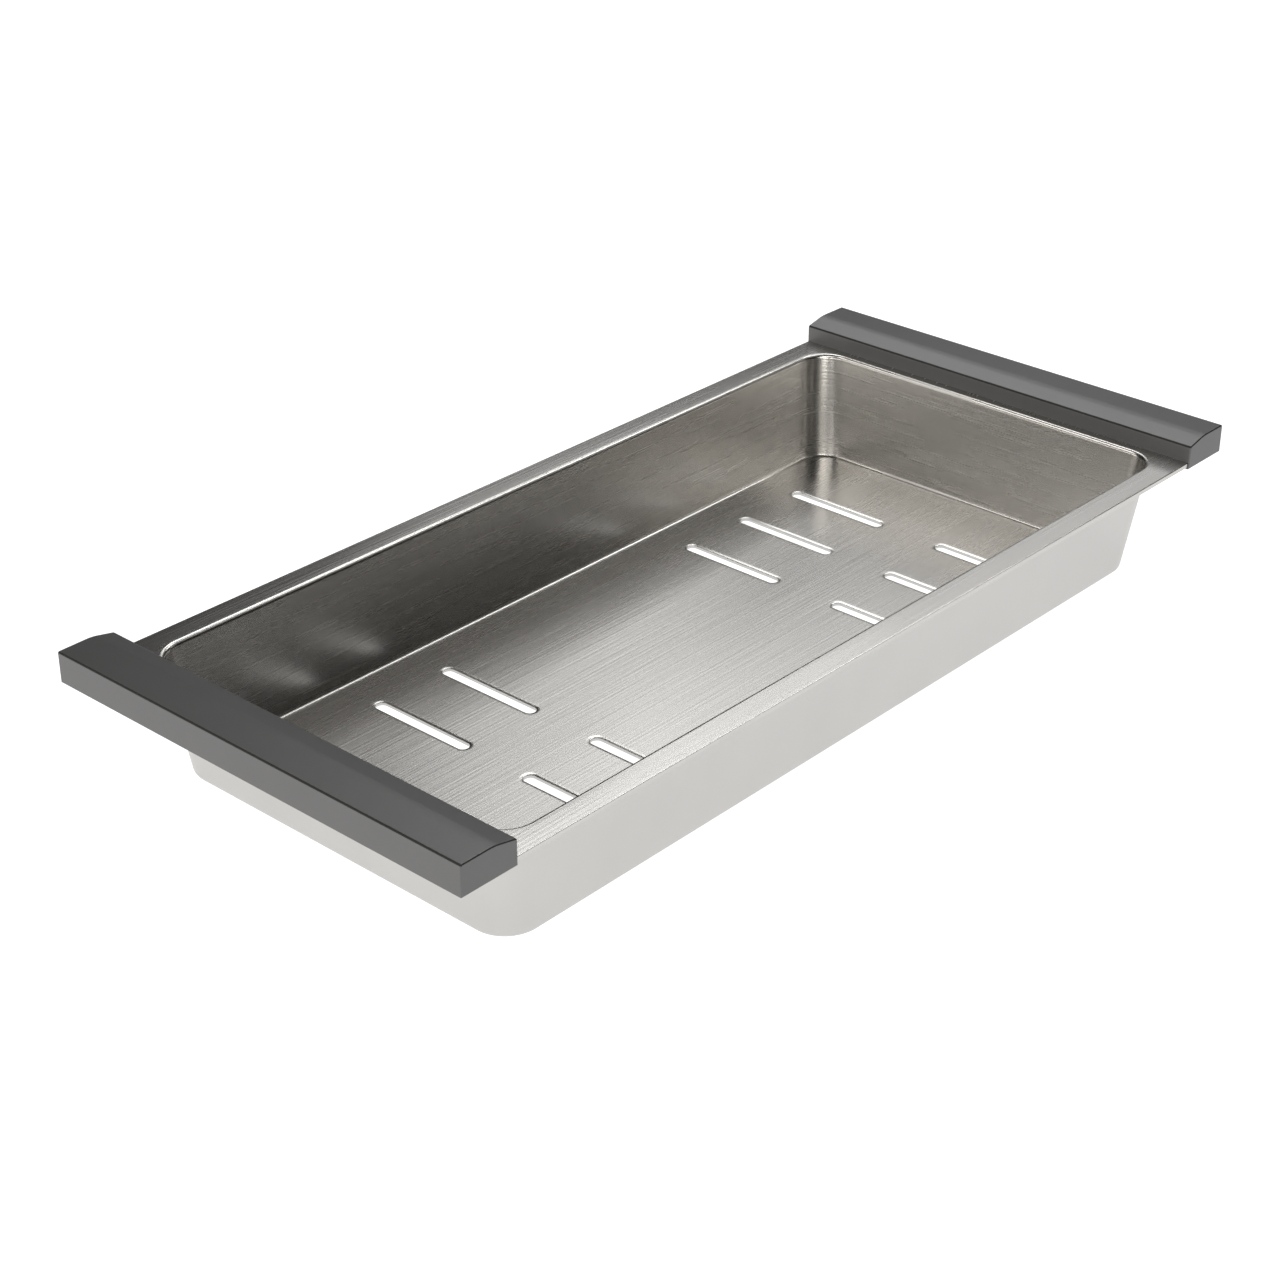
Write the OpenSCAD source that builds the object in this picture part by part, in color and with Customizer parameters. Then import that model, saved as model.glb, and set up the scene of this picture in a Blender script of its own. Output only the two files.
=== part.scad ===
// Colander tray that bridges a workstation sink on two end grips.
// Millimetres. +Z is up, X runs from grip to grip, Y across the tray.
// The origin is the centre of the pan's underside.

/* [Tray] */
// Length over both grips
tray_length = 430; // [400:1:480]
// Width of the rim from front to back
rim_width = 193.6; // [184:0.2:230]
// Thickness of the steel sheet
sheet = 1.5; // [1.2:0.1:1.7]

/* [Bowl] */
// Depth from the rim's face to the floor's face
bowl_depth = 45; // [30:1:60]
// Inward lean of every wall from mouth to floor
wall_draft = 5.5; // [4:0.5:8]
// Plan radius of the corners at floor level
floor_corner_r = 10; // [7:0.5:14]
// Bend radius where the rim's face turns into the wall
lip_bend_r = 1.8; // [1.8:0.1:2.4]
// Bend radius where the wall's face turns into the floor
floor_bend_r = 1.5; // [1:0.1:3.5]
// Flat rim beside the mouth, along the long sides
side_ledge = 11; // [8:0.1:16]
// Flat rim between the mouth and each grip
end_ledge = 5.2; // [4.5:0.1:9]

/* [Drain slots] */
// Width of a slot
slot_width = 4.9; // [3:0.1:7]
// Distance between the slots of one group
slot_pitch = 34.4; // [20:0.2:36]
// Slots of one group, side by side
slot_columns = 3; // [1:1:3]
// Distance from the floor's end to the outermost slots' centre lines
slot_end_distance = 41.6; // [20:0.2:50]
// Distance from the floor's side to the slots' outer ends
slot_side_distance = 18.65; // [10:0.05:30]
// Distance between the two rows of slots
slot_row_gap = 28.7; // [16:0.1:50]
// Width of the pressed border round a slot
slot_border = 1.55; // [0.8:0.05:2]
// Drop of the pressed border at the slot
slot_border_drop = 0.3; // [0.1:0.05:0.5]

/* [Grips] */
// Width of a grip along the tray
grip_width = 23.9; // [22:0.1:30]
// Height of a grip's outer face
grip_height = 11.8; // [10.5:0.1:15]
// Extra height of a grip at the line where its top bends
grip_crown = 0.1; // [0:0.05:0.6]
// Distance from a grip's outer face to the line where its top bends
grip_bend_at = 14.3; // [10:0.1:17]
// Height of a grip's inner face above its underside
grip_inner_height = 9.8; // [8.8:0.1:10.5]
// Depth of a grip below the rim's face
grip_drop = 2.8; // [2.7:0.1:4]
// How far a grip stands past the rim at each end
grip_overhang = 0.6; // [0.5:0.1:2]
// Radius of a grip's upright corners
grip_corner_r = 1; // [0.5:0.1:2]
// Radius of a grip's outer top edge
grip_outer_edge_r = 0.8; // [0.4:0.1:1.5]
// Radius of a grip's inner top edge
grip_inner_edge_r = 1; // [0.4:0.1:1.5]
// Radius of the soft bend along a grip's top
grip_bend_r = 20; // [2:0.5:30]

/* [Grip inside] */
// Thickness of the cover's top, outer wall and end walls
cover_wall = 2; // [1.5:0.1:2.5]
// Thickness of the cover's inner wall
cover_inner_wall = 1.6; // [1.2:0.1:2]
// Thickness of the ribs across the cover
rib_wall = 1.5; // [1:0.1:2.5]
// Reach of the rim's full width into a grip
rim_seat = 1.8; // [1.2:0.1:3]
// Width of the thick rail along a base, beyond the tongue
pad_rail_width = 7.4; // [6.4:0.1:9]
// Step from the rim's side to the tongue's side
tongue_step = 2.2; // [1.8:0.1:4]
// Gap left round pieces that slide together
fit_gap = 0.2; // [0.1:0.05:0.3]

/* [Screws] */
// Distance from a grip's end to its outermost screws
screw_end_distance = 22.4; // [12:0.1:40]
// Diameter of a screw's shank
screw_d = 2.9; // [2.2:0.1:3.2]
// Diameter of a screw's countersunk head
screw_head_d = 5.4; // [4.4:0.1:5.6]
// Length of a screw
screw_length = 8; // [6:0.5:8.5]
// Diameter of the boss that a screw bites into
boss_d = 7; // [6:0.1:8]
// Length of the drive cross in a screw's head
drive_length = 3; // [2:0.1:3.4]
// Width of the drive cross
drive_width = 0.7; // [0.5:0.1:1]
// Depth of the drive cross
drive_depth = 0.8; // [0.5:0.1:1]
// Gap between a screw and the plastic round it
screw_gap = 0.05; // [0.02:0.01:0.1]
// Gap between a screw's shank and the hole in the sheet
sheet_hole_gap = 0.25; // [0.15:0.05:0.4]

/* [Rest pads] */
// Length of a pad
pad_length = 50; // [30:1:60]
// Width of a pad
pad_width = 5; // [3:0.1:5.2]
// Thickness of a pad
pad_thickness = 1.5; // [1.2:0.1:1.8]
// Depth of the pocket that holds a pad
pad_pocket = 1.2; // [0.8:0.1:1.2]
// Distance from a grip's end to a pad's outer end
pad_end_distance = 12.4; // [6:0.1:40]
// Plan radius of a pad's corners
pad_corner_r = 1; // [0.5:0.1:1.4]

/* [Hidden] */
$fn = 96;
// Flat steps that a bend's arc is drawn with
bend_steps = 6;
// Length by which every cut runs past the face it cuts
overrun = 1;
// Flat sheet kept beyond the lip's bend, so that walls and rim lap
lip_lap = 4;
// Lap of the floor's middle plate under the floor of the walls
floor_lap = 2;

rim_z = bowl_depth + sheet;
mouth_half_x = tray_length / 2 - grip_width - end_ledge;
mouth_half_y = rim_width / 2 - side_ledge;
corner_x = mouth_half_x - wall_draft - floor_corner_r;
corner_y = mouth_half_y - wall_draft - floor_corner_r;
mouth_corner_r = floor_corner_r + wall_draft;
draft_angle = atan(wall_draft / bowl_depth);

slot_last_x = mouth_half_x - wall_draft - slot_end_distance;
slot_length = mouth_half_y - wall_draft - slot_side_distance - slot_row_gap / 2;
slot_row_y = (slot_row_gap + slot_length) / 2;

grip_z = rim_z - grip_drop;
grip_inner_x = tray_length / 2 - grip_width;
grip_half_y = rim_width / 2 + grip_overhang;
base_plate = grip_drop - sheet;
cavity_half_y = grip_half_y - cover_wall;
tongue_half_y = rim_width / 2 - tongue_step;
rail_inner_x = tray_length / 2 - cover_wall - fit_gap - pad_rail_width;
tongue_end_x = rail_inner_x - 2 * fit_gap;

screw_x = (grip_inner_x + cover_inner_wall + tongue_end_x) / 2;
screw_y = grip_half_y - screw_end_distance;
head_height = (screw_head_d - screw_d) / 2;
pad_x = rail_inner_x + pad_rail_width / 2;
pad_y = grip_half_y - pad_end_distance - pad_length / 2;

steel = [0.74, 0.73, 0.71];
grip_grey = [0.38, 0.38, 0.38];
base_grey = [0.3, 0.3, 0.3];
pad_black = [0.12, 0.12, 0.13];
screw_steel = [0.62, 0.62, 0.64];

// Unit vector from a to b
function toward(a, b) = (b - a) / norm(b - a);

// Arc that rounds corner p between its neighbours a and b, or p itself where r is zero
function rounded_corner(a, p, b, r) =
    r == 0 ? [p] :
    let (
        to_a = toward(p, a),
        to_b = toward(p, b),
        half = acos(to_a * to_b) / 2,
        centre = p + toward([0, 0], to_a + to_b) * r / sin(half),
        first = p + to_a * r / tan(half) - centre,
        side = sign(to_a.x * to_b.y - to_a.y * to_b.x),
        sweep = side * (2 * half - 180)
    )
    [for (i = [0 : bend_steps])
        let (turn = sweep * i / bend_steps)
        centre + [first.x * cos(turn) - first.y * sin(turn), first.x * sin(turn) + first.y * cos(turn)]];

// Outline through the given corners, each rounded to its own radius
function rounded_outline(corners, radii) =
    let (n = len(corners))
    [for (i = [0 : n - 1])
        each rounded_corner(corners[(i + n - 1) % n], corners[i], corners[(i + 1) % n], radii[i])];

// Rectangle from (-x, -y) to (x, y) with round corners
module rounded_plate(x, y, r) {
    square([2 * (x - r), 2 * y], center = true);
    square([2 * x, 2 * (y - r)], center = true);
    for (sx = [-1, 1], sy = [-1, 1])
        translate([sx * (x - r), sy * (y - r)]) circle(r = r);
}

// Place on the wall's outer face at height z, as a distance from the corner's axis
function wall_outside(z) = floor_corner_r + (z - sheet) * tan(draft_angle) + sheet / cos(draft_angle);

// Section through floor, wall and rim: distance from the corner's axis, and height
module sheet_section() {
    lap_end = mouth_corner_r + lip_bend_r + lip_lap;
    polygon(rounded_outline(
        [
            [0, sheet],
            [floor_corner_r, sheet],
            [mouth_corner_r, rim_z],
            [lap_end, rim_z],
            [lap_end, rim_z - sheet],
            [wall_outside(rim_z - sheet), rim_z - sheet],
            [wall_outside(0), 0],
            [0, 0]
        ],
        [0, floor_bend_r, lip_bend_r, 0, 0, lip_bend_r - sheet, floor_bend_r + sheet, 0]
    ));
}

// One quarter of the bowl: a round corner and half of each wall beside it
module bowl_quarter() {
    translate([corner_x, corner_y, 0]) rotate_extrude(angle = 90) sheet_section();
    translate([corner_x, corner_y, 0]) rotate([90, 0, 0]) linear_extrude(corner_y) sheet_section();
    translate([0, corner_y, 0]) rotate([90, 0, 90]) linear_extrude(corner_x) sheet_section();
}

// Flat rim with its mouth and its two end tongues
module rim_plate() {
    mouth_grow = lip_bend_r + lip_lap / 2;
    translate([0, 0, rim_z - sheet]) linear_extrude(sheet) difference() {
        union() {
            square([2 * (grip_inner_x + rim_seat), rim_width], center = true);
            square([2 * tongue_end_x, 2 * tongue_half_y], center = true);
        }
        rounded_plate(mouth_half_x + mouth_grow, mouth_half_y + mouth_grow, mouth_corner_r + mouth_grow);
    }
}

// Middle of the floor, lapped under the floor of the walls
module floor_plate() {
    linear_extrude(sheet) square([2 * (corner_x + floor_lap), 2 * (corner_y + floor_lap)], center = true);
}

// Half section of a slot with its pressed border, from the slot's centre line outwards
function slot_half_section() = [
    [0, -overrun],
    [slot_width / 2, -overrun],
    [slot_width / 2, sheet - slot_border_drop],
    [slot_width / 2 + slot_border, sheet],
    [slot_width / 2 + slot_border, sheet + overrun],
    [0, sheet + overrun]
];

// One drain slot as a cut, along Y
module slot_cut() {
    straight = slot_length - slot_width;
    for (end = [-1, 1])
        translate([0, end * straight / 2, 0]) rotate_extrude() polygon(slot_half_section());
    for (side = [0, 1])
        mirror([side, 0, 0]) translate([0, straight / 2, 0]) rotate([90, 0, 0])
            linear_extrude(straight) polygon(slot_half_section());
}

module drain_slots() {
    for (sx = [-1, 1], sy = [-1, 1], column = [0 : slot_columns - 1])
        translate([sx * (slot_last_x - column * slot_pitch), sy * slot_row_y, 0]) slot_cut();
}

// Places of the screws in the right grip
module at_screws() {
    for (row = [-1 : 1]) translate([screw_x, row * screw_y, 0]) children();
}

module colander_pan() {
    color(steel) difference() {
        union() {
            for (mx = [0, 1], my = [0, 1]) mirror([mx, 0, 0]) mirror([0, my, 0]) bowl_quarter();
            floor_plate();
            rim_plate();
        }
        drain_slots();
        for (end = [0, 1]) mirror([end, 0, 0]) at_screws()
            translate([0, 0, rim_z - sheet - overrun])
                cylinder(h = sheet + 2 * overrun, d = screw_d + 2 * sheet_hole_gap);
    }
}

// Turns a section drawn as distance from the grip's outer face and height above its underside
// into a bar along the right grip, half its length given
module along_grip(half_length) {
    translate([tray_length / 2, -half_length, grip_z]) mirror([1, 0, 0])
        rotate([90, 0, 0]) mirror([0, 0, 1]) linear_extrude(2 * half_length) children();
}

// Outside of a grip, in section
module grip_section() {
    polygon(rounded_outline(
        [
            [0, 0],
            [0, grip_height],
            [grip_bend_at, grip_height + grip_crown],
            [grip_width, grip_inner_height],
            [grip_width, 0]
        ],
        [0, grip_outer_edge_r, grip_bend_r, grip_inner_edge_r, 0]
    ));
}

// Height of a grip's top at a distance past its bend
function top_past_bend(distance) =
    let (slope = (grip_height + grip_crown - grip_inner_height) / (grip_width - grip_bend_at))
    grip_height + grip_crown - slope * (distance - grip_bend_at);

// Hollow of a cover, in section
module cover_hollow_section() {
    inside = grip_width - cover_inner_wall;
    polygon([
        [cover_wall, -overrun],
        [cover_wall, grip_height - cover_wall],
        [grip_bend_at, grip_height + grip_crown - cover_wall],
        [inside, top_past_bend(inside) - cover_wall],
        [inside, grip_drop],
        [grip_width + overrun, grip_drop],
        [grip_width + overrun, -overrun]
    ]);
}

// Opening for the full width of the rim, through the cover's inner corners
module rim_notch() {
    reach = rim_seat + fit_gap;
    translate([grip_inner_x - overrun, -rim_width / 2 - fit_gap, grip_z + base_plate])
        cube([reach + overrun, rim_width + 2 * fit_gap, sheet]);
}

// Reach of the stiffeners, in section: from the tongue up to the middle of the cover's walls
module stiffener_section() {
    inside = grip_width - cover_inner_wall / 2;
    polygon([
        [cover_wall / 2, grip_drop],
        [cover_wall / 2, grip_height - cover_wall / 2],
        [grip_bend_at, grip_height + grip_crown - cover_wall / 2],
        [inside, top_past_bend(inside) - cover_wall / 2],
        [inside, grip_drop]
    ]);
}

// Screw bosses and cross ribs inside a cover
module cover_stiffeners() {
    intersection() {
        along_grip(cavity_half_y) stiffener_section();
        translate([0, 0, grip_z]) {
            at_screws() cylinder(h = grip_height, d = boss_d);
            for (side = [-1, 1])
                translate([grip_inner_x, (side * screw_y - rib_wall) / 2, 0])
                    cube([grip_width, rib_wall, grip_height]);
        }
    }
}

module grip_cover() {
    color(grip_grey) difference() {
        union() {
            difference() {
                intersection() {
                    along_grip(grip_half_y) grip_section();
                    translate([grip_inner_x + grip_width / 2, 0, grip_z])
                        linear_extrude(grip_height + grip_crown + overrun)
                            rounded_plate(grip_width / 2, grip_half_y, grip_corner_r);
                }
                along_grip(cavity_half_y) cover_hollow_section();
                rim_notch();
            }
            cover_stiffeners();
        }
        at_screws() translate([0, 0, rim_z - overrun])
            cylinder(h = screw_length - grip_drop + 2 * screw_gap + overrun, d = screw_d + 2 * screw_gap);
    }
}

// Closing strip: thin under the tongue, thick beyond its end
module base_section() {
    outside = cover_wall + fit_gap;
    polygon([
        [outside, 0],
        [outside, grip_drop],
        [outside + pad_rail_width, grip_drop],
        [outside + pad_rail_width, base_plate],
        [grip_width, base_plate],
        [grip_width, 0]
    ]);
}

// Body of the right grip's pads, each grown sideways by the same amount
module pads(height, grow) {
    for (side = [-1, 1])
        translate([pad_x, side * pad_y, 0])
            linear_extrude(height)
                rounded_plate(pad_width / 2 + grow, pad_length / 2 + grow, pad_corner_r + grow);
}

// Cone of a screw's head, standing on the grip's underside
module head_cone(gap) {
    translate([0, 0, grip_z])
        cylinder(h = head_height, d1 = screw_head_d + 2 * gap, d2 = screw_d + 2 * gap);
}

module grip_base() {
    color(base_grey) difference() {
        along_grip(cavity_half_y - fit_gap) base_section();
        translate([0, 0, grip_z - overrun]) pads(pad_pocket + overrun, fit_gap / 2);
        at_screws() {
            head_cone(screw_gap);
            translate([0, 0, grip_z - overrun])
                cylinder(h = base_plate + 2 * overrun, d = screw_d + 2 * screw_gap);
        }
    }
}

module grip_screws() {
    color(screw_steel) at_screws() difference() {
        union() {
            head_cone(0);
            translate([0, 0, grip_z]) cylinder(h = screw_length, d = screw_d);
        }
        for (turn = [0, 90])
            translate([0, 0, grip_z + (drive_depth - overrun) / 2]) rotate(turn)
                cube([drive_length, drive_width, drive_depth + overrun], center = true);
    }
}

module rest_pads() {
    color(pad_black) translate([0, 0, grip_z + pad_pocket - pad_thickness]) pads(pad_thickness, 0);
}

module left() {
    mirror([1, 0, 0]) children();
}

colander_pan();
left() grip_cover();  // left_grip_cover
grip_cover();  // right_grip_cover
left() grip_base();  // left_grip_base
grip_base();  // right_grip_base
left() grip_screws();  // left_grip_screws
grip_screws();  // right_grip_screws
left() rest_pads();  // left_rest_pads
rest_pads();  // right_rest_pads
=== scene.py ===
"""Colander tray of a workstation sink, dressed for a studio picture.

The tray's classes hold their sizes in millimetres. The studio's sizes and the scene itself are in metres.
Z is up, X runs from grip to grip, Y across the tray, and the origin is the centre of the pan's underside.
"""
import logging
import math
from collections.abc import Callable, Iterable, Sequence
from dataclasses import dataclass, field
from enum import Enum

import bmesh
import bpy
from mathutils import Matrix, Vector


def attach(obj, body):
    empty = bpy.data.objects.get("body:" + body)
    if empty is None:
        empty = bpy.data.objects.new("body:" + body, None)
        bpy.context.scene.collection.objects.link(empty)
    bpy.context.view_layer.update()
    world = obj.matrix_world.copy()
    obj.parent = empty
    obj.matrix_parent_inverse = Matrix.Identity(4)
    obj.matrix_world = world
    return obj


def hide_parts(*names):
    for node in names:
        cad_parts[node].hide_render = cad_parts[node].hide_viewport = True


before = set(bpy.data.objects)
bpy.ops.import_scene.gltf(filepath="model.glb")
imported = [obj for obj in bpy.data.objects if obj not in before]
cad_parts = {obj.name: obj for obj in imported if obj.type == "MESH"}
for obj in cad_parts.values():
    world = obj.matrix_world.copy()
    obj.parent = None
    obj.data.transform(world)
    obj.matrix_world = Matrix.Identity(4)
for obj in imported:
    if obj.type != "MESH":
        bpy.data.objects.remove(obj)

Pair = tuple[float, float]
Triple = tuple[float, float, float]
Colour = tuple[float, float, float]
Edges = list[bmesh.types.BMEdge]
Faces = list[bmesh.types.BMFace]

LOG = logging.getLogger("tray")
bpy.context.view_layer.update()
MM = 0.001
HALF = 0.5
MERGE_WITHIN = 0.0005
NORMAL_WEIGHT = 100
WHITE: Colour = (1.0, 1.0, 1.0)
WARM: Colour = (1.0, 0.968, 0.92)


class Side(Enum):
    """End of the tray that a grip stands on."""

    LEFT = -1
    RIGHT = 1


class Wire:
    """Output of a shader node, with arithmetic that adds Math nodes."""

    def __init__(self, tree: "ShaderTree", socket: bpy.types.NodeSocket) -> None:
        """Keep the tree and the socket."""
        self.tree = tree
        self.socket = socket

    def __add__(self, other: "Wire | float") -> "Wire":
        """Sum."""
        return self.tree.math("ADD", self, other)

    def __radd__(self, other: float) -> "Wire":
        """Sum with a number first."""
        return self.tree.math("ADD", other, self)

    def __mul__(self, other: "Wire | float") -> "Wire":
        """Product."""
        return self.tree.math("MULTIPLY", self, other)

    def __rmul__(self, other: float) -> "Wire":
        """Product with a number first."""
        return self.tree.math("MULTIPLY", other, self)


Value = Wire | float | tuple[float, ...]
Settings = dict[str, str | bool]
Inputs = dict[str | int, Value]


class ShaderTree:
    """Node tree of one material, built a node at a time.

    A Mix node has sockets of one name for each kind of data, so those for colours go by number. Most of a
    noise lies between noise_low and noise_high.
    """

    mix_factor: int = 0
    mix_low: int = 6
    mix_high: int = 7
    mix_result: int = 2
    noise_low: float = 0.25
    noise_high: float = 0.75

    def __init__(self, name: str) -> None:
        """Make an empty material.

        Args:
            name: Name of the material.
        """
        self.material = bpy.data.materials.new(name)
        self.material.use_nodes = True
        self.tree = self.material.node_tree
        self.tree.nodes.clear()

    def feed(self, socket: bpy.types.NodeSocket, value: Value) -> None:
        """Link a wire to a socket, or set the socket's own value.

        Args:
            socket: Input to feed.
            value: A wire, a number, a vector or a colour.
        """
        if isinstance(value, Wire):
            self.tree.links.new(value.socket, socket)
        else:
            socket.default_value = value

    def node(self, kind: str, settings: Settings, inputs: Inputs) -> bpy.types.Node:
        """Add a node.

        Args:
            kind: Type name of the node.
            settings: Properties of the node by name.
            inputs: Values or wires by the input's name or number.

        Returns:
            The new node.
        """
        made = self.tree.nodes.new(kind)
        for name, value in settings.items():
            setattr(made, name, value)
        for key, value in inputs.items():
            self.feed(made.inputs[key], value)
        return made

    def math(self, operation: str, first: Wire | float, second: Wire | float) -> Wire:
        """Add a Math node.

        Args:
            operation: Name of the operation.
            first: First term.
            second: Second term.

        Returns:
            The result.
        """
        made = self.node("ShaderNodeMath", {"operation": operation}, {0: first, 1: second})
        return Wire(self, made.outputs[0])

    def place(self, uv: str = "") -> Wire:
        """Coordinates in metres.

        Args:
            uv: Name of the UV map to read, or nothing for the object's own coordinates.

        Returns:
            The coordinates.
        """
        if uv:
            return Wire(self, self.node("ShaderNodeUVMap", {"uv_map": uv}, {}).outputs["UV"])
        return Wire(self, self.node("ShaderNodeTexCoord", {}, {}).outputs["Object"])

    def noise(self, where: Wire, size: Triple, detail: float = 2.0, rough: float = 0.5) -> Wire:
        """Noise from 0 to 1 with its own size along each axis.

        Args:
            where: Coordinates in metres.
            size: Length of one feature along X, Y and Z, in millimetres.
            detail: Octaves of finer noise.
            rough: Weight of each finer octave.

        Returns:
            The noise.
        """
        scale = tuple(1 / (length * MM) for length in size)
        moved = self.node("ShaderNodeMapping", {}, {"Vector": where, "Scale": scale})
        inputs = {"Vector": Wire(self, moved.outputs[0]), "Scale": 1.0, "Detail": detail,
                  "Roughness": rough}
        made = self.node("ShaderNodeTexNoise", {"noise_dimensions": "3D"}, inputs)
        return Wire(self, made.outputs["Fac"])

    def spread(self, value: Wire, low: float = 0.0, high: float = 1.0) -> Wire:
        """Map the middle part of a noise onto a range, with clamped ends.

        Args:
            value: Noise from 0 to 1.
            low: Result at the low end.
            high: Result at the high end.

        Returns:
            The mapped value.
        """
        inputs = {"Value": value, "From Min": self.noise_low, "From Max": self.noise_high,
                  "To Min": low, "To Max": high}
        return Wire(self, self.node("ShaderNodeMapRange", {"clamp": True}, inputs).outputs["Result"])

    def blend(self, factor: Wire, low: Colour, high: Colour) -> Wire:
        """Mix two colours.

        Args:
            factor: Share of the second colour, from 0 to 1.
            low: First colour.
            high: Second colour.

        Returns:
            The mixed colour.
        """
        inputs = {self.mix_factor: factor, self.mix_low: (*low, 1.0), self.mix_high: (*high, 1.0)}
        made = self.node("ShaderNodeMix", {"data_type": "RGBA"}, inputs)
        return Wire(self, made.outputs[self.mix_result])

    def bump(self, height: Wire, depth: float) -> Wire:
        """Normal of a relief whose height is given from 0 to 1, and its depth in millimetres."""
        inputs = {"Height": height, "Distance": depth * MM, "Strength": 1.0}
        return Wire(self, self.node("ShaderNodeBump", {}, inputs).outputs["Normal"])

    def surface(self, inputs: Inputs) -> bpy.types.Material:
        """Close the tree with a Principled surface.

        Args:
            inputs: Values or wires of the surface by name.

        Returns:
            The finished material.
        """
        shader = self.node("ShaderNodeBsdfPrincipled", {}, inputs)
        self.node("ShaderNodeOutputMaterial", {}, {"Surface": Wire(self, shader.outputs["BSDF"])})
        return self.material


def weigh(first: Wire, second: Wire, share: float = HALF) -> Wire:
    """Weighted mean of two values, by the first one's share."""
    return first * share + second * (1 - share)


@dataclass(frozen=True)
class BrushedSteel:
    """Sheet steel with a straight brushed grain along the UV map's first axis."""

    name: str = "brushed_steel"
    uv: str = "grain"
    dark: Colour = (0.494, 0.485, 0.468)
    light: Colour = (0.556, 0.547, 0.529)
    rough_low: float = 0.255
    rough_high: float = 0.28
    streak: Triple = (45.0, 0.95, 1.0)
    long_streak: Triple = (120.0, 2.6, 1.0)
    streak_detail: float = 0.0
    streak_share: float = 0.75
    streak_depth: float = 0.034
    cloud: Triple = (90.0, 60.0, 1.0)
    grain_share: float = 0.8

    def make(self) -> bpy.types.Material:
        """Build the material.

        Returns:
            The finished material.
        """
        tree = ShaderTree(self.name)
        where = tree.place(self.uv)
        fine = tree.noise(where, self.streak, self.streak_detail)
        wide = tree.noise(where, self.long_streak, self.streak_detail)
        cloud = tree.noise(where, self.cloud)
        grain = weigh(fine, wide, self.streak_share)
        tone = weigh(grain, cloud, self.grain_share)
        return tree.surface({
            "Base Color": tree.blend(tree.spread(tone), self.dark, self.light),
            "Roughness": tree.spread(grain, self.rough_low, self.rough_high),
            "Metallic": 1.0,
            "Normal": tree.bump(grain, self.streak_depth),
        })


@dataclass(frozen=True)
class SatinSteel:
    """Sheet steel with an even satin face."""

    name: str = "satin_steel"
    dark: Colour = (0.505, 0.5, 0.489)
    light: Colour = (0.545, 0.54, 0.528)
    rough_low: float = 0.36
    rough_high: float = 0.44
    grain: Triple = (0.5, 0.5, 0.5)
    cloud: Triple = (40.0, 40.0, 40.0)
    depth: float = 0.002

    def make(self) -> bpy.types.Material:
        """Build the material.

        Returns:
            The finished material.
        """
        tree = ShaderTree(self.name)
        where = tree.place()
        grain = tree.noise(where, self.grain)
        cloud = tree.noise(where, self.cloud)
        return tree.surface({
            "Base Color": tree.blend(tree.spread(cloud), self.dark, self.light),
            "Roughness": tree.spread(weigh(grain, cloud), self.rough_low, self.rough_high),
            "Metallic": 1.0,
            "Normal": tree.bump(grain, self.depth),
        })


@dataclass(frozen=True)
class MouldedPlastic:
    """Matt moulded plastic or rubber with a fine eroded grain."""

    name: str
    dark: Colour
    light: Colour
    rough_low: float = 0.36
    rough_high: float = 0.42
    shine: float = 0.5
    grain: Triple = (0.35, 0.35, 0.35)
    grain_detail: float = 3.0
    grain_rough: float = 0.6
    cloud: Triple = (18.0, 18.0, 18.0)
    depth: float = 0.006

    def make(self) -> bpy.types.Material:
        """Build the material.

        Returns:
            The finished material.
        """
        tree = ShaderTree(self.name)
        where = tree.place()
        grain = tree.noise(where, self.grain, self.grain_detail, self.grain_rough)
        cloud = tree.noise(where, self.cloud)
        return tree.surface({
            "Base Color": tree.blend(tree.spread(weigh(grain, cloud)), self.dark, self.light),
            "Roughness": tree.spread(grain, self.rough_low, self.rough_high),
            "Specular IOR Level": self.shine,
            "Normal": tree.bump(grain, self.depth),
        })


@dataclass(frozen=True)
class PaleFloor:
    """Pale paper sweep that stays bright under the tray."""

    name: str = "pale_floor"
    dark: Colour = (0.28, 0.28, 0.28)
    light: Colour = (0.32, 0.32, 0.32)
    rough: float = 0.9
    glow: float = 1.0
    grain: Triple = (3.0, 3.0, 3.0)

    def make(self) -> bpy.types.Material:
        """Build the material.

        Returns:
            The finished material.
        """
        tree = ShaderTree(self.name)
        grain = tree.noise(tree.place(), self.grain)
        return tree.surface({
            "Base Color": tree.blend(grain, self.dark, self.light),
            "Roughness": self.rough,
            "Emission Color": (*WHITE, 1.0),
            "Emission Strength": self.glow,
        })


GRIP_PLASTIC = MouldedPlastic("grip_plastic", dark=(0.060, 0.060, 0.061), light=(0.070, 0.070, 0.071),
                              shine=0.8)
# Near-black plastic for the grips' rounded top edges: a painted shade line along those edges.
GRIP_PAINTED_SHADE_EDGE = MouldedPlastic("grip_painted_shade_edge", dark=(0.022, 0.022, 0.022), light=(0.028, 0.028, 0.028),
                           rough_low=0.5, rough_high=0.6, shine=0.15)
BASE_PLASTIC = MouldedPlastic("base_plastic", dark=(0.085, 0.085, 0.087), light=(0.11, 0.11, 0.112))
SCREW_STEEL = SatinSteel("screw_steel", rough_low=0.25, rough_high=0.35)
PAD_RUBBER = MouldedPlastic("pad_rubber", dark=(0.02, 0.02, 0.021), light=(0.035, 0.035, 0.036),
                            rough_low=0.7, rough_high=0.85)


def put(name: str, data: bpy.types.ID, place: Sequence[float] = (0.0, 0.0, 0.0),
        turn: Sequence[float] = (0.0, 0.0, 0.0)) -> bpy.types.Object:
    """Put an object in the scene.

    Args:
        name: Name of the object.
        data: Its mesh, light or camera.
        place: Its place in metres.
        turn: Its turn about X, Y and Z in radians.

    Returns:
        The new object.
    """
    made = bpy.data.objects.new(name, data)
    made.location = place
    made.rotation_euler = turn
    bpy.context.scene.collection.objects.link(made)
    return made


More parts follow.
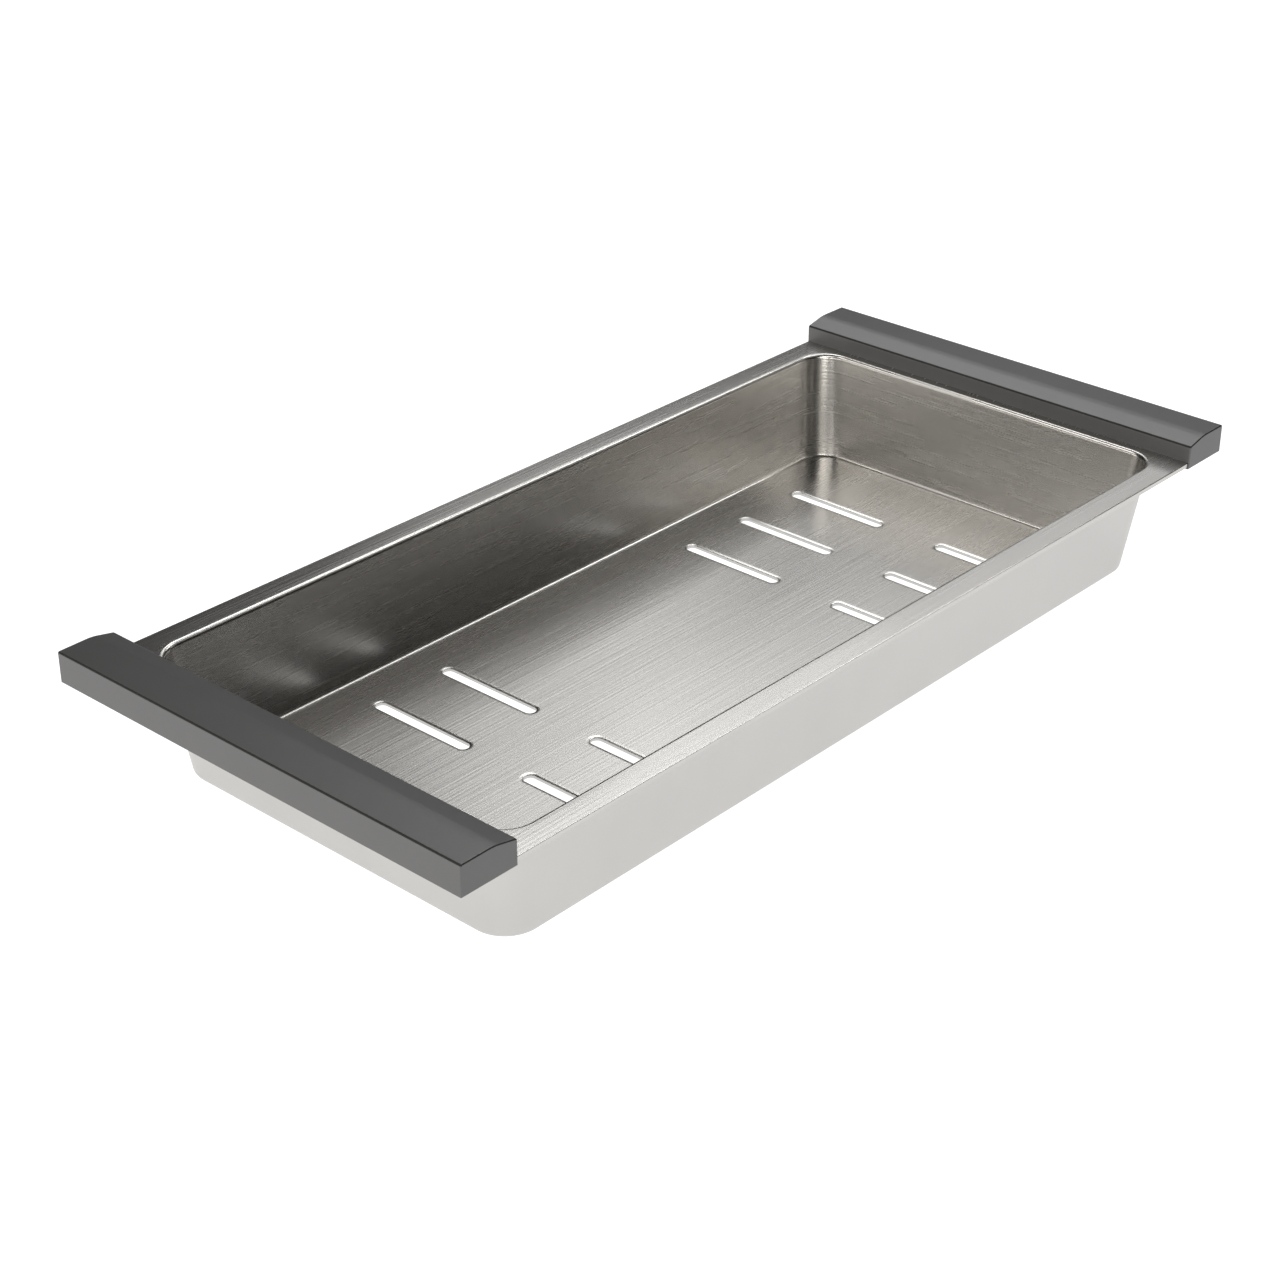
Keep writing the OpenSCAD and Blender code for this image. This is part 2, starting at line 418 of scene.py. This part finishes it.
def put_mesh(name: str, shape: bmesh.types.BMesh,
             materials: Iterable[bpy.types.Material]) -> bpy.types.Object:
    """Put a finished shape in the scene, at the origin.

    Args:
        name: Name of the object.
        shape: The shape in metres, which is freed.
        materials: Its materials.

    Returns:
        The new object.
    """
    data = bpy.data.meshes.new(name)
    shape.to_mesh(data)
    shape.free()
    for material in materials:
        data.materials.append(material)
    return put(name, data)


def grow(half: Pair, by: float) -> Pair:
    """Half sizes grown by the same amount on every side."""
    return half[0] + by, half[1] + by


@dataclass(frozen=True)
class Away:
    """Move that takes a point outwards from a rectangle in plan, to a given height."""

    by: float
    z: float
    half: Pair
    centre: Pair = (0.0, 0.0)

    def __call__(self, point: Vector) -> Vector:
        """Move a point.

        Args:
            point: Place before the move.

        Returns:
            Place after it.
        """
        inside = [max(mid - size, min(mid + size, value))
                  for mid, size, value in zip(self.centre, self.half, point)]
        out = Vector((point.x - inside[0], point.y - inside[1]))
        out = out.normalized() * (out.length + self.by)
        return Vector((inside[0] + out.x, inside[1] + out.y, self.z))


class MeshShop:
    """Mesh being built in millimetres with bmesh operators."""

    def __init__(self) -> None:
        """Start empty."""
        self.mesh = bmesh.new()
        self.kept: set[bmesh.types.BMFace] = set()

    def keep(self) -> None:
        """Take all faces made so far as part of the mesh."""
        self.kept = set(self.mesh.faces)

    def fresh(self) -> Faces:
        """Faces that aren't part of the mesh yet."""
        return [face for face in self.mesh.faces if face not in self.kept]

    def ring(self, half: Pair, radius: float, z: float, centre: Pair = (0.0, 0.0),
             segments: int = 18) -> Edges:
        """Add a closed loop of edges round a rectangle with round corners.

        Args:
            half: Half sizes of the rectangle.
            radius: Radius of the corners.
            z: Height.
            centre: Middle of the rectangle.
            segments: Steps of each corner.

        Returns:
            The loop's edges.
        """
        made = bmesh.ops.create_grid(self.mesh, x_segments=1, y_segments=1, size=1.0)["verts"]
        bmesh.ops.scale(self.mesh, vec=(*half, 1.0), verts=made)
        bmesh.ops.translate(self.mesh, vec=(*centre, z), verts=made)
        bmesh.ops.bevel(self.mesh, geom=made, offset=radius, offset_type="OFFSET", segments=segments,
                        profile=HALF, affect="VERTICES", material=-1, clamp_overlap=False)
        faces = self.fresh()
        edges = [edge for face in faces for edge in face.edges]
        bmesh.ops.delete(self.mesh, geom=faces, context="FACES_ONLY")
        return edges

    def cells(self, columns: list[float], rows: list[float], z: float) -> Faces:
        """Add a flat grid of cells between the given lines.

        Args:
            columns: Places of the lines along X.
            rows: Places of the lines along Y.
            z: Height.

        Returns:
            The cells.
        """
        across, up = len(columns) - 1, len(rows) - 1
        made = bmesh.ops.create_grid(self.mesh, x_segments=across, y_segments=up, size=1.0)
        for vert in made["verts"]:
            column = round((vert.co.x + 1) / 2 * across)
            row = round((vert.co.y + 1) / 2 * up)
            vert.co = (columns[column], rows[row], z)
        return self.fresh()

    def block(self, low: Triple, high: Triple) -> None:
        """Add a block between two corners.

        Args:
            low: Lowest corner.
            high: Highest corner.
        """
        verts = bmesh.ops.create_cube(self.mesh, size=1.0)["verts"]
        bmesh.ops.scale(self.mesh, vec=Vector(high) - Vector(low), verts=verts)
        bmesh.ops.translate(self.mesh, vec=(Vector(high) + Vector(low)) / 2, verts=verts)

    def rim_of(self, faces: Faces) -> Edges:
        """Edges that belong to only one of some faces."""
        return [edge for face in faces for edge in face.edges if len(edge.link_faces) == 1]

    def edges_where(self, test: Callable[[Vector], bool]) -> Edges:
        """Edges whose two ends both pass a test of their places."""
        return [edge for edge in self.mesh.edges if all(test(vert.co) for vert in edge.verts)]

    def extend(self, edges: Edges, move: Callable[[Vector], Vector]) -> Edges:
        """Extrude a loop of edges into a strip of faces.

        Args:
            edges: Loop to start from.
            move: Gives the new place of a point of the loop.

        Returns:
            The loop at the strip's far side.
        """
        made = bmesh.ops.extrude_edge_only(self.mesh, edges=edges)["geom"]
        verts = [part for part in made if isinstance(part, bmesh.types.BMVert)]
        for vert in verts:
            vert.co = move(vert.co)
        self.keep()
        known = set(verts)
        return [part for part in made
                if isinstance(part, bmesh.types.BMEdge) and all(vert in known for vert in part.verts)]

    def fill(self, rings: Iterable[Edges]) -> None:
        """Fill the flat area between an outer ring and the rings inside it.

        Args:
            rings: Edges of each ring.
        """
        edges = [edge for ring in rings for edge in ring]
        bmesh.ops.triangle_fill(self.mesh, use_beauty=True, use_dissolve=False, edges=edges)
        self.keep()

    def soften(self, edges: Edges, offset: float, segments: int) -> None:
        """Round edges.

        Args:
            edges: Edges to round.
            offset: Width of the rounding on each side.
            segments: Steps of the rounding.
        """
        bmesh.ops.bevel(self.mesh, geom=edges, offset=offset, offset_type="OFFSET", segments=segments,
                        profile=HALF, affect="EDGES", material=-1, clamp_overlap=False, loop_slide=True)
        self.keep()

    def finish(self, name: str, materials: Iterable[bpy.types.Material] = ()) -> bpy.types.Object:
        """Turn the mesh into an object in metres, at the origin.

        Args:
            name: Name of the object.
            materials: Its materials.

        Returns:
            The new object.
        """
        bmesh.ops.remove_doubles(self.mesh, verts=self.mesh.verts, dist=MERGE_WITHIN)
        bmesh.ops.recalc_face_normals(self.mesh, faces=self.mesh.faces)
        for face in self.mesh.faces:
            face.smooth = True
        bmesh.ops.scale(self.mesh, vec=(MM, MM, MM), verts=self.mesh.verts)
        return put_mesh(name, self.mesh, materials)


def weigh_normals(piece: bpy.types.Object) -> None:
    """Shade a piece by the normals of its largest faces.

    Args:
        piece: The piece.
    """
    weighted = piece.modifiers.new("weighted_normals", "WEIGHTED_NORMAL")
    weighted.mode = "FACE_AREA"
    weighted.weight = NORMAL_WEIGHT
    weighted.keep_sharp = True


@dataclass
class SteelPan:
    """Pressed pan with a flat rim, drafted walls and drain slots in its floor."""

    name: str = "steel_pan"
    sheet: float = 1.5
    rim_z: float = 46.5
    rim_half: Pair = (192.9, 96.8)
    tongue_half: Pair = (205.0, 94.6)
    edge: float = 0.42
    edge_segments: int = 2
    floor_half: Pair = (180.4, 80.3)
    draft: float = 5.5
    corner: float = 12.5
    floor_flat: float = 5.0
    rim_flat: float = 4.0
    floor_bend: float = 1.3
    floor_segments: int = 8
    lip_bend: float = 1.8
    lip_segments: int = 6
    low_lip_segments: int = 2
    slot_half: Pair = (2.45, 23.65)
    slot_x: tuple[float, ...] = (70.0, 104.4, 138.8)
    slot_y: float = 38.0
    slot_steps: int = 8
    slot_flat: float = 1.0
    slot_corner_share: float = 0.985
    slot_lip: float = 0.12
    slot_lip_segments: int = 3
    slot_edge: float = 0.1
    slot_edge_segments: int = 2
    border: float = 1.55
    border_drop: float = 0.3
    border_shares: tuple[float, ...] = (0.25, 0.5, 0.75, 1.0)
    cell_y: Pair = (8.0, 68.0)
    near: float = 1.0
    level: float = 0.99
    cut_steepness: float = 0.3
    facing_down: float = -0.05
    bend_row: float = 0.0137
    nudge: float = 0.001
    creases: list[tuple[Edges, float, int]] = field(default_factory=list)

    def drafted(self, point: Vector, z: float) -> Vector:
        """Place of a point of the floor's edge after it has gone up the wall to a height."""
        x, y = (value + math.copysign(self.draft, value) for value in point.xy)
        return Vector((x, y, z))

    def skin(self, shop: MeshShop, under: bool) -> tuple[Edges, Edges]:
        """Build the upper or the lower skin from the floor to the rim.

        Args:
            shop: Mesh to build in.
            under: Whether it is the lower skin.

        Returns:
            The ring left open in the floor and the one left open in the rim.
        """
        height = self.rim_z - self.sheet
        slope = math.atan(self.draft / height)
        below = self.sheet if under else 0.0
        shift = self.sheet / math.cos(slope) - self.sheet * math.tan(slope) if under else 0.0
        low, high = (0.0, height) if under else (self.sheet, self.rim_z)
        mouth = grow(self.floor_half, self.draft + shift)
        floor = grow(self.floor_half, shift)
        radius = self.corner + below
        start = shop.ring(grow(floor, -self.floor_flat), radius - self.floor_flat, low)
        crease = shop.extend(start, Away(self.floor_flat, low, grow(floor, -radius)))
        lip = shop.extend(crease, lambda point: self.drafted(point, high))
        end = shop.extend(lip, Away(self.rim_flat, high, grow(mouth, -radius)))
        turn = math.tan((math.pi / 2 - slope) / 2)
        lip_segments = self.low_lip_segments if under else self.lip_segments
        self.creases.append((crease, (self.floor_bend + below) * turn, self.floor_segments))
        self.creases.append((lip, (self.lip_bend - below) * turn, lip_segments))
        return start, end

    def past_tongue(self, middle: Vector) -> bool:
        """Whether a cell of the outline's grid is one of the four cut corners, by its middle."""
        return abs(middle.x) > self.rim_half[0] and abs(middle.y) > self.tongue_half[1]

    def outline(self, shop: MeshShop, z: float) -> Edges:
        """Outline of the rim with its two tongues.

        Args:
            shop: Mesh to build in.
            z: Height.

        Returns:
            The outline's edges.
        """
        columns = [-self.tongue_half[0], -self.rim_half[0], self.rim_half[0], self.tongue_half[0]]
        rows = [-self.rim_half[1], -self.tongue_half[1], self.tongue_half[1], self.rim_half[1]]
        faces = shop.cells(columns, rows, z)
        corners = [face for face in faces if self.past_tongue(face.calc_center_median())]
        bmesh.ops.delete(shop.mesh, geom=corners, context="FACES")
        faces = [face for face in faces if face.is_valid]
        edges = shop.rim_of(faces)
        bmesh.ops.delete(shop.mesh, geom=faces, context="FACES_KEEP_BOUNDARY")
        return edges

    def floor(self, shop: MeshShop, z: float, outer: Edges, slots: dict[Pair, Edges]) -> None:
        """Fill the floor between its outer ring and the slots, cell by cell.

        Args:
            shop: Mesh to build in.
            z: Height of the floor's face.
            outer: Outer ring.
            slots: Ring of each slot by the slot's middle.
        """
        pitch = self.slot_x[1] - self.slot_x[0]
        right = [self.slot_x[0] - pitch / 2, *(x + pitch / 2 for x in self.slot_x)]
        columns = [-x for x in reversed(right)] + right
        rows = [-self.cell_y[1], -self.cell_y[0], self.cell_y[0], self.cell_y[1]]
        faces = shop.cells(columns, rows, z)
        border = shop.rim_of(faces)
        for face in faces:
            middle = face.calc_center_median()
            held = [at for at in slots if math.hypot(at[0] - middle.x, at[1] - middle.y) < self.near]
            if held:
                edges = list(face.edges)
                bmesh.ops.delete(shop.mesh, geom=[face], context="FACES_ONLY")
                shop.fill([edges, slots[held[0]]])
        shop.fill([outer, border])

    def slot(self, shop: MeshShop, centre: Pair) -> tuple[Edges, Edges]:
        """Build one drain slot with its pressed border.

        Args:
            shop: Mesh to build in.
            centre: Middle of the slot.

        Returns:
            The ring left open in the floor's face and the one left open in its underside.
        """
        axis = (0.0, self.slot_half[1] - self.slot_half[0])
        outer = grow(self.slot_half, self.border + self.slot_flat)
        start = shop.ring(outer, outer[0] * self.slot_corner_share, self.sheet, centre, self.slot_steps)
        ring = shop.extend(start, Away(-self.slot_flat, self.sheet, axis, centre))
        done = 0.0
        for share in self.border_shares:
            drop = self.border_drop * share ** 2
            ring = shop.extend(ring, Away(-self.border * (share - done), self.sheet - drop, axis, centre))
            done = share
        self.creases.append((ring, self.slot_lip, self.slot_lip_segments))
        ring = shop.extend(ring, Away(0.0, 0.0, axis, centre))
        self.creases.append((ring, self.slot_edge, self.slot_edge_segments))
        return start, shop.extend(ring, Away(self.slot_flat, 0.0, axis, centre))

    def perimeter(self, x: float, y: float) -> float:
        """Distance along the wall from the middle of the far side, with its seam at the near left corner.

        Args:
            x: Place along the tray, in millimetres.
            y: Place across the tray, in millimetres.

        Returns:
            The distance in millimetres.
        """
        axis_x, axis_y = (half + self.draft / 2 - self.corner for half in self.floor_half)
        over_x, over_y = abs(x) - axis_x, abs(y) - axis_y
        quarter = self.corner * math.pi / 2
        if over_x <= 0:
            return x if y > 0 else 2 * (axis_x + axis_y + quarter) - x
        if over_y <= 0:
            return math.copysign(axis_x + quarter + axis_y - y, x)
        if y > 0:
            return math.copysign(axis_x + self.corner * math.atan2(over_x, over_y), x)
        return math.copysign(axis_x + quarter + 2 * axis_y + self.corner * math.atan2(over_y, over_x), x)

    def map_grain(self, piece: bpy.types.Object) -> None:
        """Lay the grain along the rim and floor, and round the walls, and mark the plain outside.

        The bends, and the strips in the middle of the rim's two ends, take a single row of the grain, so
        that no streak crosses them.

        Args:
            piece: The finished pan.
        """
        data = piece.data
        layer = data.uv_layers.new(name="grain")
        for face in data.polygons:
            centre, normal = face.center, face.normal
            in_floor = all(abs(at) / MM < half - self.floor_flat
                           for at, half in zip(centre, self.floor_half))
            cut = in_floor and centre.z < self.sheet * MM and abs(normal.z) < self.cut_steepness
            face.material_index = 1 if normal.z < self.facing_down or cut else 0
            level = abs(normal.z) > self.level
            end_strip = level and not in_floor and abs(centre.y) < self.floor_flat * MM < abs(centre.x)
            bend = end_strip or not level and abs(normal.z) > self.cut_steepness
            for index in face.loop_indices:
                point = data.vertices[data.loops[index].vertex_index].co
                along, across = point.x, point.y
                if not (level or in_floor):
                    inner = point.lerp(centre, self.nudge)
                    along = self.perimeter(inner.x / MM, inner.y / MM) * MM
                    across = point.z
                layer.data[index].uv = (along, self.bend_row if bend else across)

    def build(self, inside: bpy.types.Material, outside: bpy.types.Material) -> bpy.types.Object:
        """Build and dress the pan.

        Args:
            inside: Finish of the rim, the walls' inner faces and the floor.
            outside: Finish of the outside and the underside.

        Returns:
            The pan.
        """
        shop = MeshShop()
        top_floor, top_rim = self.skin(shop, under=False)
        low_floor, low_rim = self.skin(shop, under=True)
        places = [(sx * x, sy * self.slot_y) for x in self.slot_x for sx in (-1, 1) for sy in (-1, 1)]
        slots = {place: self.slot(shop, place) for place in places}
        top = self.outline(shop, self.rim_z)
        low = shop.extend(top, lambda point: Vector((point.x, point.y, self.rim_z - self.sheet)))
        self.floor(shop, self.sheet, top_floor, {place: rings[0] for place, rings in slots.items()})
        self.floor(shop, 0.0, low_floor, {place: rings[1] for place, rings in slots.items()})
        shop.fill([top, top_rim])
        shop.fill([low, low_rim])
        for edges, offset, segments in self.creases:
            shop.soften(edges, offset, segments)
        for outline in (top, low):
            shop.soften(outline, self.edge, self.edge_segments)
        pan = shop.finish(self.name, [inside, outside])
        self.map_grain(pan)
        weigh_normals(pan)
        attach(pan, "root")
        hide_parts("colander_pan")
        return pan


@dataclass
class GripCover:
    """Moulded grip that closes over a short end of the rim."""

    side: Side
    pan: SteelPan = field(default_factory=SteelPan)
    outer_x: float = 215.0
    width: float = 23.9
    half_y: float = 97.4
    low_z: float = 43.7
    outer_z: float = 55.5
    bend_z: float = 55.6
    inner_z: float = 53.5
    bend_at: float = 14.3
    wall: float = 2.0
    inner_wall: float = 1.6
    rim_seat: float = 1.8
    gap: float = 0.2
    overrun: float = 5.0
    bend_r: float = 20.0
    bend_segments: int = 6
    outer_r: float = 0.8
    inner_r: float = 1.0
    edge_segments: int = 5
    end_r: float = 0.6
    end_segments: int = 4
    near: float = 0.2
    flat_angle: float = 1.0
    sharp_angle: float = 30.0
    # Range of face tilt that gets the near-black edge plastic, which paints a shade line along the
    # rounded top edges.
    painted_shade_tilt: Pair = (0.25, 0.93)

    @property
    def name(self) -> str:
        """Name of the grip's piece."""
        return f"{self.side.name.lower()}_moulded_grip"

    @property
    def inner_x(self) -> float:
        """Place of the grip's inner face."""
        return self.outer_x - self.width

    def on_line(self, x: float, z: float) -> Callable[[Vector], bool]:
        """Test of whether a point is on the long edge through a place in the section."""
        return lambda point: abs(point.x - x) < self.near and abs(point.z - z) < self.near

    def shell(self) -> bpy.types.Object:
        """Outside of the grip as a closed solid, at the right end.

        Returns:
            The solid.
        """
        shop = MeshShop()
        bend_x = self.outer_x - self.bend_at
        shop.block((self.inner_x, -self.half_y, self.low_z), (self.outer_x, self.half_y, self.outer_z))
        everything = list(shop.mesh.verts) + list(shop.mesh.edges) + list(shop.mesh.faces)
        bmesh.ops.bisect_plane(shop.mesh, geom=everything, plane_co=(bend_x, 0, 0), plane_no=(1, 0, 0))
        top = [vert for vert in shop.mesh.verts if vert.co.z > self.pan.rim_z]
        for vert in top:
            if abs(vert.co.x - bend_x) < self.near:
                vert.co.z = self.bend_z
            elif vert.co.x < bend_x:
                vert.co.z = self.inner_z
        shop.mesh.normal_update()
        bmesh.ops.dissolve_limit(shop.mesh, angle_limit=math.radians(self.flat_angle),
                                 verts=shop.mesh.verts, edges=shop.mesh.edges)
        slope = math.atan((self.bend_z - self.inner_z) / (bend_x - self.inner_x))
        bend = slope + math.atan((self.bend_z - self.outer_z) / self.bend_at)
        inner_turn = math.tan((math.pi / 2 - slope) / 2)
        bend_line = shop.edges_where(self.on_line(bend_x, self.bend_z))
        shop.soften(bend_line, self.bend_r * math.tan(bend / 2), self.bend_segments)
        outer_line = shop.edges_where(self.on_line(self.outer_x, self.outer_z))
        shop.soften(outer_line, self.outer_r, self.edge_segments)
        inner_line = shop.edges_where(self.on_line(self.inner_x, self.inner_z))
        shop.soften(inner_line, self.inner_r * inner_turn, self.edge_segments)
        for sign in (-1, 1):
            end = shop.edges_where(lambda point: sign * point.y > self.half_y - self.near)
            shop.soften(end, self.end_r, self.end_segments)
        return shop.finish(self.name)

    def hollow(self) -> bpy.types.Object:
        """Room inside the grip, and the notch that the rim enters by.

        Returns:
            The solid to take out of the grip.
        """
        shop = MeshShop()
        inside_y = self.half_y - self.wall
        shop.block((self.inner_x + self.inner_wall, -inside_y, self.low_z - self.overrun),
                   (self.outer_x - self.wall, inside_y, self.inner_z - self.wall))
        shop.block((self.inner_x - self.overrun, -inside_y, self.low_z - self.overrun),
                   (self.inner_x + self.wall, inside_y, self.pan.rim_z))
        notch_y = self.pan.rim_half[1] + self.gap
        shop.block((self.inner_x - self.overrun, -notch_y, self.pan.rim_z - self.pan.sheet),
                   (self.inner_x + self.rim_seat + self.gap, notch_y, self.pan.rim_z))
        return shop.finish(f"{self.name}_hollow")

    def carve(self) -> bpy.types.Object:
        """Take the room inside out of the closed shell.

        Returns:
            The hollow grip, at the right end.
        """
        grip = self.shell()
        hollow = self.hollow()
        cut = grip.modifiers.new("hollow", "BOOLEAN")
        cut.operation = "DIFFERENCE"
        cut.solver = "EXACT"
        cut.use_self = True
        cut.object = hollow
        graph = bpy.context.evaluated_depsgraph_get()
        carved = bpy.data.meshes.new_from_object(grip.evaluated_get(graph))
        grip.modifiers.clear()
        grip.data = carved
        bpy.data.objects.remove(hollow, do_unlink=True)
        return grip

    def turn_and_smooth(self, mesh: bpy.types.Mesh) -> None:
        """Mirror the left grip to its end, and smooth all but the sharp edges.

        Args:
            mesh: The grip's mesh.
        """
        shape = bmesh.new()
        shape.from_mesh(mesh)
        if self.side is Side.LEFT:
            bmesh.ops.scale(shape, vec=(-1.0, 1.0, 1.0), verts=shape.verts)
            bmesh.ops.reverse_faces(shape, faces=shape.faces)
        for face in shape.faces:
            face.smooth = True
        for edge in shape.edges:
            sharp = len(edge.link_faces) == 2 and edge.calc_face_angle() > math.radians(self.sharp_angle)
            edge.smooth = not sharp
        shape.to_mesh(mesh)
        shape.free()

    def build(self, plastic: bpy.types.Material, painted_shade_edge: bpy.types.Material) -> bpy.types.Object:
        """Build and dress the grip.

        Args:
            plastic: Its finish.
            painted_shade_edge: Near-black finish of its rounded top edges, a painted shade line along
                them.

        Returns:
            The grip.
        """
        grip = self.carve()
        mesh = grip.data
        self.turn_and_smooth(mesh)
        mesh.materials.clear()
        mesh.materials.append(plastic)
        mesh.materials.append(painted_shade_edge)
        # Faces of the rounded top edges take the near-black plastic, which paints a shade line along
        # them.
        low, high = self.painted_shade_tilt
        for face in mesh.polygons:
            face.material_index = 1 if low < face.normal.z < high else 0
        weigh_normals(grip)
        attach(grip, "root")
        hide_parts(f"{self.side.name.lower()}_grip_cover")
        return grip


@dataclass(frozen=True)
class CarriedParts:
    """Bases, screws or pads of both grips, which keep their solids and get a finish."""

    kind: str
    finish: SatinSteel | MouldedPlastic

    def dress(self) -> None:
        """Give the parts at both ends their finish."""
        material = self.finish.make()
        for side in Side:
            name = f"{side.name.lower()}_{self.kind}"
            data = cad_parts[name].data
            data.materials.clear()
            data.materials.append(material)
            LOG.info("dressed %s", name)


@dataclass(frozen=True)
class SoftBoxRow:
    """Rectangular soft lights of one size and elevation that face the tray, with their powers by azimuth.

    The lights on the far right are white, and the others warm.
    """

    elevation: float
    size: Pair
    powers: dict[float, float]
    distance: float = 2.4
    warm_from: float = 90.0

    def hang(self, azimuth: float, name: str) -> None:
        """Put one light of the row in the scene.

        Args:
            azimuth: Direction of the light in degrees.
            name: Name of the light.
        """
        turn, rise = math.radians(azimuth), math.radians(self.elevation)
        place = Vector((math.cos(turn) * math.cos(rise), math.sin(turn) * math.cos(rise), math.sin(rise)))
        data = bpy.data.lights.new(name, "AREA")
        data.shape = "RECTANGLE"
        data.size, data.size_y = self.size
        data.energy = self.powers[azimuth]
        data.color = WARM if azimuth > self.warm_from else WHITE
        put(name, data, place * self.distance, (-place).to_track_quat("-Z", "Y").to_euler())


@dataclass
class Studio:
    """Floor, lights and camera."""

    floor_half: float = 5.0
    floor_z: float = -0.0004
    floor_cells: int = 8
    camera_place: Triple = (-0.646320, -0.557131, 0.474204)
    camera_turn: Triple = (61.3528, 0.0100, -47.9768)
    lens: float = 71.974
    sensor: float = 36.0
    clip_end: float = 100.0
    sky: Colour = (0.0, 0.0, 0.0)
    rows: tuple[SoftBoxRow, ...] = (
        SoftBoxRow(10, (0.90, 0.80), {132: 5.33, 162: 7.03, 192: 8.77, 222: 11.96}),
        SoftBoxRow(30, (0.55, 0.80), {132: 1.50, 237: 6.19, 327: 0.95, 27: 1.37}),
        SoftBoxRow(52, (0.80, 0.90), {42: 9.20, 132: 7.38, 192: 5.78, 222: 8.68, 312: 1.17}),
        SoftBoxRow(34, (0.20, 0.22), {48: 0.15, 38: 0.20}, distance=1.1),
        SoftBoxRow(46, (0.28, 0.22), {2: 1.10}, distance=1.1),
        SoftBoxRow(60, (0.28, 0.22), {2: 0.80}, distance=1.1),
    )

    def floor(self, material: bpy.types.Material) -> None:
        """Lay the floor.

        Args:
            material: Its finish.
        """
        shape = bmesh.new()
        bmesh.ops.create_grid(shape, x_segments=self.floor_cells, y_segments=self.floor_cells,
                              size=self.floor_half)
        bmesh.ops.translate(shape, vec=(0, 0, self.floor_z), verts=shape.verts)
        made = put_mesh("floor", shape, [material])

    def lights(self) -> None:
        """Darken the sky and hang the soft lights."""
        world = bpy.data.worlds.new("studio")
        world.use_nodes = True
        world.node_tree.nodes["Background"].inputs["Color"].default_value = (*self.sky, 1.0)
        bpy.context.scene.world = world
        places = [(row, azimuth) for row in self.rows for azimuth in row.powers]
        for number, (row, azimuth) in enumerate(places):
            row.hang(azimuth, f"soft_box_{number:02d}")

    def camera(self) -> None:
        """Place the camera at the photograph's angle."""
        data = bpy.data.cameras.new("camera")
        data.sensor_width = self.sensor
        data.lens = self.lens
        data.clip_end = self.clip_end
        turn = [math.radians(angle) for angle in self.camera_turn]
        bpy.context.scene.camera = put("camera", data, self.camera_place, turn)

    def build(self) -> None:
        """Build floor, lights and camera."""
        self.floor(PaleFloor().make())
        self.lights()
        self.camera()
        bpy.context.scene.view_settings.view_transform = "Standard"


def main() -> None:
    """Build the tray and the studio."""
    logging.basicConfig(level=logging.INFO, format="%(message)s")
    Studio().build()
    pan = SteelPan().build(BrushedSteel().make(), SatinSteel().make())
    LOG.info("built %s with %d faces", pan.name, len(pan.data.polygons))
    plastic = GRIP_PLASTIC.make()
    # Near-black plastic for the grips' top edges, which paints shade along them.
    painted_shade_edge = GRIP_PAINTED_SHADE_EDGE.make()
    for side in Side:
        grip = GripCover(side).build(plastic, painted_shade_edge)
        LOG.info("built %s with %d faces", grip.name, len(grip.data.polygons))
    CarriedParts("grip_base", BASE_PLASTIC).dress()
    CarriedParts("grip_screws", SCREW_STEEL).dress()
    CarriedParts("rest_pads", PAD_RUBBER).dress()


if __name__ == "__main__":
    main()
